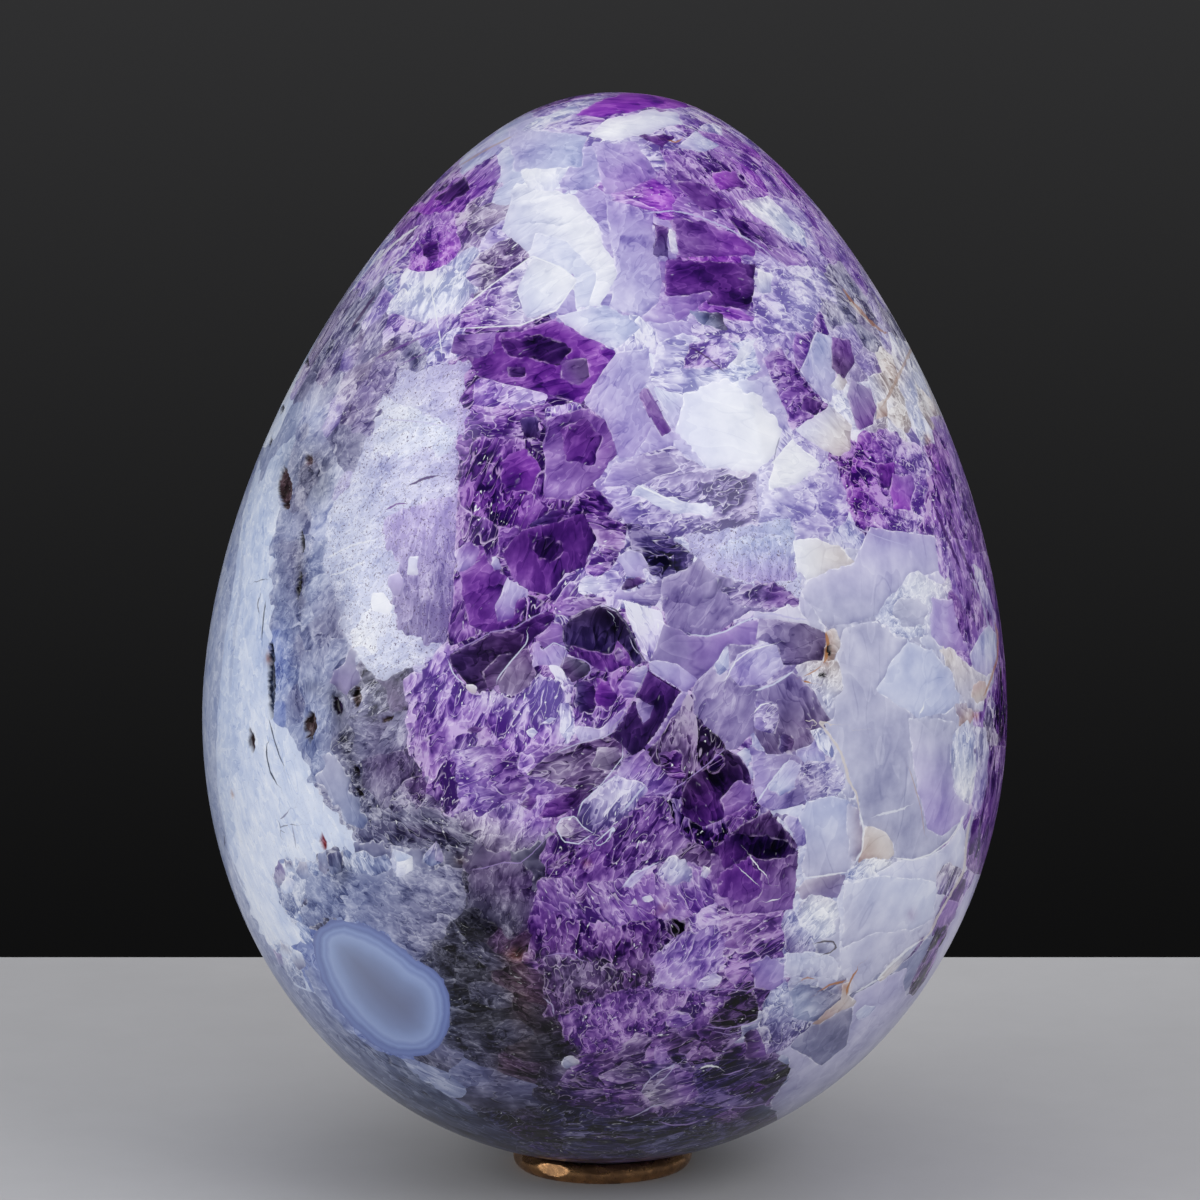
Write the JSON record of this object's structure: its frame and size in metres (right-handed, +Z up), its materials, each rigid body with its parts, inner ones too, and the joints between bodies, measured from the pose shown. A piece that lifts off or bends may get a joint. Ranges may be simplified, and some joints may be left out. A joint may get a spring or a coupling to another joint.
{
  "type": "crystal egg on ring stand",
  "caption": "Large polished amethyst and agate egg resting loose, slightly leaning, in a small rounded bronze ring stand with a dished seat and a flat foot.",
  "frame": {"origin": "on the table, at the middle of the underside of the egg's bounding box; the ring's centre lies 0.34 mm to -X of it, because the egg leans", "axes": "+Z up, the egg's long way; +X to the right as seen in the picture, towards which the narrow end leans; the viewer stands at -Y"},
  "size_m": [0.1334, 0.1334, 0.1799],
  "materials": {
    "polished_amethyst": "polished translucent amethyst with pale quartz, grey druse and ice-blue agate",
    "bronze": "worn polish over hammered flats"
  },
  "bodies": {
    "ring_stand": {"ring_stand": "bronze"},
    "egg": {"egg": "polished_amethyst"}
  },
  "joints": [
    {"name": "egg_turn", "type": "hinge", "parent": "ring_stand", "child": "egg", "pos_m": [-0.00034, 0, 0.06545], "axis": [0.0297, 0, 0.9996], "continuous": true}
  ]
}
